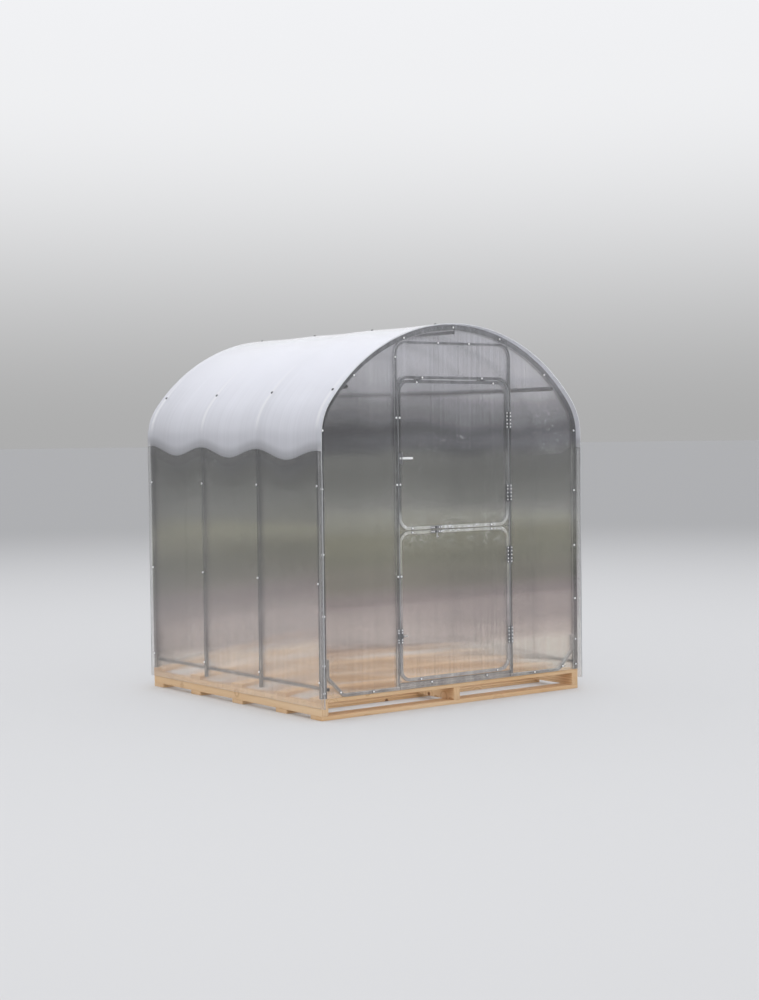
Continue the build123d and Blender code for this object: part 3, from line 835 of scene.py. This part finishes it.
def make_sheet_screws():
    """The screws through the flat sheets and the cover."""
    washer_screw = screw_shape(washer=0.0095, head=0.0058)
    cover_rows, roof_leans = (0.231, 0.824, 1.409), (-48.7, -6.3, 6.3, 48.7)
    seat = gable_front - sheet_wave * 0.4
    # Rows: left edge, right edge, arch, portal's top, lintel and sill, ground rail, portal's left leg
    front = [
        (-1.021, 1.740), (-1.028, 1.390), (-1.026, 0.998), (-1.026, 0.627), (-1.029, 0.330), (-1.030, 0.165),
        (1.027, 1.728), (1.026, 1.330), (1.024, 0.963), (1.027, 0.606), (1.028, 0.333), (1.030, 0.165),
        (-0.783, 2.072), (-0.398, 2.308), (-0.004, 2.383), (0.382, 2.319), (0.766, 2.095),
        (-0.127, 2.283), (0.124, 2.283), (-0.468, 2.189),
        (-0.257, 2.065), (0.229, 2.065), (-0.206, 0.160), (0.248, 0.160),
        (-0.910, 0.161), (-0.663, 0.142), (0.660, 0.142), (0.910, 0.161),
        (-0.465, 1.815), (-0.465, 1.402), (-0.465, 0.834),
    ]
    rear_half = [
        (1.028, 1.735), (1.028, 1.360), (1.028, 0.980), (1.028, 0.617), (1.028, 0.332), (1.028, 0.165),
        (0.775, 2.083), (0.390, 2.313), (0.125, 2.283), (0.465, 1.815), (0.465, 1.110), (0.465, 0.500),
        (0.227, 0.142), (0.660, 0.142),
    ]
    rear = [(side * x, z) for side in (-1, 1) for x, z in rear_half]
    upper = [
        (-0.302, 2.034), (0.323, 2.034), (-0.346, 1.129), (0.297, 1.129), (-0.439, 1.815), (-0.439, 1.402),
    ]
    lower = [(-0.347, 1.103), (0.297, 1.103), (-0.291, 0.186), (0.336, 0.186), (-0.439, 0.834)]
    for name, body, places, y in (
        ("front_screws", "root", front, seat), ("rear_screws", "root", rear, -seat),
        ("upper_leaf_screws", "upper_leaf", upper, seat), ("lower_leaf_screws", "lower_leaf", lower, seat),
    ):
        outward = (0, -1 if y < 0 else 1, 0)
        make_screw_set(name, body, washer_screw, [((x, y, z), outward) for x, z in places])

    for name, side in (("left", -1), ("right", 1)):
        spots = [((side * roof_high.x, y, z), (side, 0, 0)) for y in arch_places for z in cover_rows]
        replaced = (f"{name}_wall_screws",)
        make_screw_set(f"{name}_cover_screws", "root", washer_screw, spots, replaced=replaced)
    spots = []
    for y in arch_places:
        for lean in roof_leans:
            place, outward = cover_place(radians(lean) * crown_radius)
            spots.append(((place.x, y, place.y), (outward.x, 0, outward.y)))
    # The screws on the roof take the dark plate zinc as a painted shade, for their shadow on the roof
    make_screw_set("top_cover_screws", "root", washer_screw, spots, plate_zinc, ("roof_screws",))


def make_plate_screws():
    """The small screws in the plates of the hinges and of the two bolts."""
    small_screw = screw_shape(washer=0.0062, head=0.005, tallness=0.55)
    plate_thickness = 0.002
    plate_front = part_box("fixed_hinge_halves")[1].y - plate_thickness
    lower_hinges, upper_hinges = (0.407, 0.928), (1.330, 1.800)
    hinge_rows = (-0.045, -0.024, 0.0, 0.024, 0.045)
    bolt_rows = (-0.038, -0.022, 0.022, 0.038)

    def upright(x, middles, rows):
        """Places one above another, in rows about each middle."""
        return [(x, z + row) for z in middles for row in rows]

    sets = {
        "hinge_screws": ("root", upright(0.4665, lower_hinges + upper_hinges, hinge_rows)),
        "upper_hinge_screws": ("upper_leaf", upright(0.4375, upper_hinges, hinge_rows)),
        "lower_hinge_screws": ("lower_leaf", upright(0.4375, lower_hinges, hinge_rows)),
        "side_keeper_screws": ("root", upright(-0.4655, (0.463,), bolt_rows)),
        "side_holder_screws": ("lower_leaf", upright(-0.4385, (0.463,), bolt_rows)),
        "leaf_keeper_screws": ("upper_leaf", [(-0.157 + row, 1.1295) for row in bolt_rows]),
        "leaf_holder_screws": ("lower_leaf", [(-0.157 + row, 1.1025) for row in bolt_rows]),
    }
    for name, (body, places) in sets.items():
        make_screw_set(name, body, small_screw, [((x, plate_front, z), (0, -1, 0)) for x, z in places])


def make_fittings():
    """Hinges, bolts, pull and lever with their edges broken."""
    fittings = {
        "fixed_hinge_halves": ("root", plate_zinc), "side_bolt_keeper": ("root", plate_zinc),
        "upper_leaf_hinge_halves": ("upper_leaf", plate_zinc), "leaf_bolt_keeper": ("upper_leaf", plate_zinc),
        "lower_leaf_hinge_halves": ("lower_leaf", plate_zinc), "side_bolt_holder": ("lower_leaf", plate_zinc),
        "leaf_bolt_holder": ("lower_leaf", plate_zinc), "door_pull": ("upper_leaf", plate_zinc),
        "handle_lever": ("handle", white_zinc_and_painted_glint), "side_bolt": ("side_bolt", bolt_zinc),
        "leaf_bolt": ("leaf_bolt", bolt_zinc),
    }
    edge_radius, sharp_angle = 0.0004, 50.0
    for node, (body, material) in fittings.items():
        bm = copied(node)
        round_edges(bm, edge_radius, angle=sharp_angle)
        finish_piece(bm, f"worked_{node}", body, [material], (node,))


def make_nails():
    """Nail heads, in pairs, where the deck boards cross the stringers."""
    board_places, stringer_places = (-0.94, -0.5616, -0.0545, 0.46, 0.952), (-1.022, 0.0, 1.022)
    aside_x, aside_y, straying, sunk = 0.012, 0.033, 0.006, 0.0006
    profile = [(0, 0.0012), (0.0026, 0.0011), (0.0034, 0.0006), (0.0036, -0.001), (0, -0.001)]
    shape = as_mesh(turned(profile, 10), "nail_shape")
    bm = bmesh.new()
    for board, y in enumerate(board_places):
        for stringer, x in enumerate(stringer_places):
            for k, side in enumerate((-1, 1)):
                stray = noise.noise_vector(Vector((board * 2.3, stringer * 3.1, k * 5.7))) * straying
                place = (x + side * aside_x + stray.x, y + side * aside_y + stray.y, deck - sunk)
                stamp(bm, shape, place, (0, 0, 1))
    finish_piece(bm, "deck_nails", "root", [plate_zinc])


# ---- Floor, light and camera ----
def make_floor():
    """A plain pale floor that darkens softly into the distance."""
    near_colour, far_colour = (0.68, 0.68, 0.67), (0.385, 0.385, 0.38)
    near, far, floor_radius = 3.0, 24.0, 900.0
    bm = bmesh.new()
    bmesh.ops.create_circle(bm, cap_ends=True, segments=96, radius=floor_radius)
    mesh = as_mesh(bm, "floor")
    floor = bpy.data.objects.new("floor", mesh)
    scene.collection.objects.link(floor)
    material, tree, shader = new_material("pale_floor", Roughness=0.85)
    place = add(tree, "ShaderNodeTexCoord").outputs["Object"]
    level = vector_reckon(tree, "MULTIPLY", place, (1, 1, 0))
    distance = add(tree, "ShaderNodeVectorMath", {0: level}, operation="LENGTH").outputs["Value"]
    near_to_far = fade(tree, distance, near, far)
    feed(shader.inputs["Base Color"], mix_colours(tree, near_to_far, near_colour, far_colour))
    mesh.materials.append(material)


def make_light():
    """A soft studio: a bright ceiling that fades to a grey horizon."""
    horizon, low_sky, high_sky = (0.42, 0.42, 0.42), (0.86, 0.865, 0.88), (1.0, 1.01, 1.06)
    world = bpy.data.worlds.new("soft_studio")
    world.use_nodes = True
    scene.world = world
    tree = world.node_tree
    up = parted(tree, add(tree, "ShaderNodeTexCoord").outputs["Generated"])[2]
    sky = mix_colours(tree, fade(tree, up, 0.0, 0.2), horizon, low_sky)
    sky = mix_colours(tree, fade(tree, up, 0.16, 0.5), sky, high_sky)
    feed(tree.nodes["Background"].inputs["Color"], sky)


def make_key_lamp():
    """A large soft lamp, high at the front left."""
    place = Vector((-5.5, -6.0, 7.5))
    data = bpy.data.lights.new("soft_lamp", "AREA")
    data.shape = "RECTANGLE"
    data.size, data.size_y = 3.0, 2.0
    data.energy = 75.0
    lamp = bpy.data.objects.new("soft_lamp", data)
    scene.collection.objects.link(lamp)
    lamp.matrix_world = Matrix.Translation(place) @ place.to_track_quat("Z", "Y").to_matrix().to_4x4()


def make_camera():
    """The photograph's view: its place, its lens and its slight tilt."""
    place = (-6.9316, -9.4094, 1.6709)
    focal_pixels, long_side = 1721.5, 1000.0
    yaw, down, roll = 0.6461, 0.034, -0.0121
    forward = Vector((sin(yaw) * cos(down), cos(yaw) * cos(down), -sin(down)))
    level = Vector((cos(yaw), -sin(yaw), 0))
    upright = level.cross(forward)
    right = level * cos(roll) + upright * sin(roll)
    top = upright * cos(roll) - level * sin(roll)
    data = bpy.data.cameras.new("camera")
    data.sensor_width = 36.0
    data.lens = focal_pixels * data.sensor_width / long_side
    data.shift_x = -0.001
    camera = bpy.data.objects.new("camera", data)
    scene.collection.objects.link(camera)
    camera.matrix_world = Matrix.Translation(place) @ Matrix((right, top, -forward)).transposed().to_4x4()
    scene.camera = camera


make_cover()
make_flat_sheets()
make_tubes()
make_boards()
make_sheet_screws()
make_plate_screws()
make_fittings()
make_nails()
make_floor()
make_light()
make_key_lamp()
make_camera()
scene.view_settings.view_transform = "Standard"
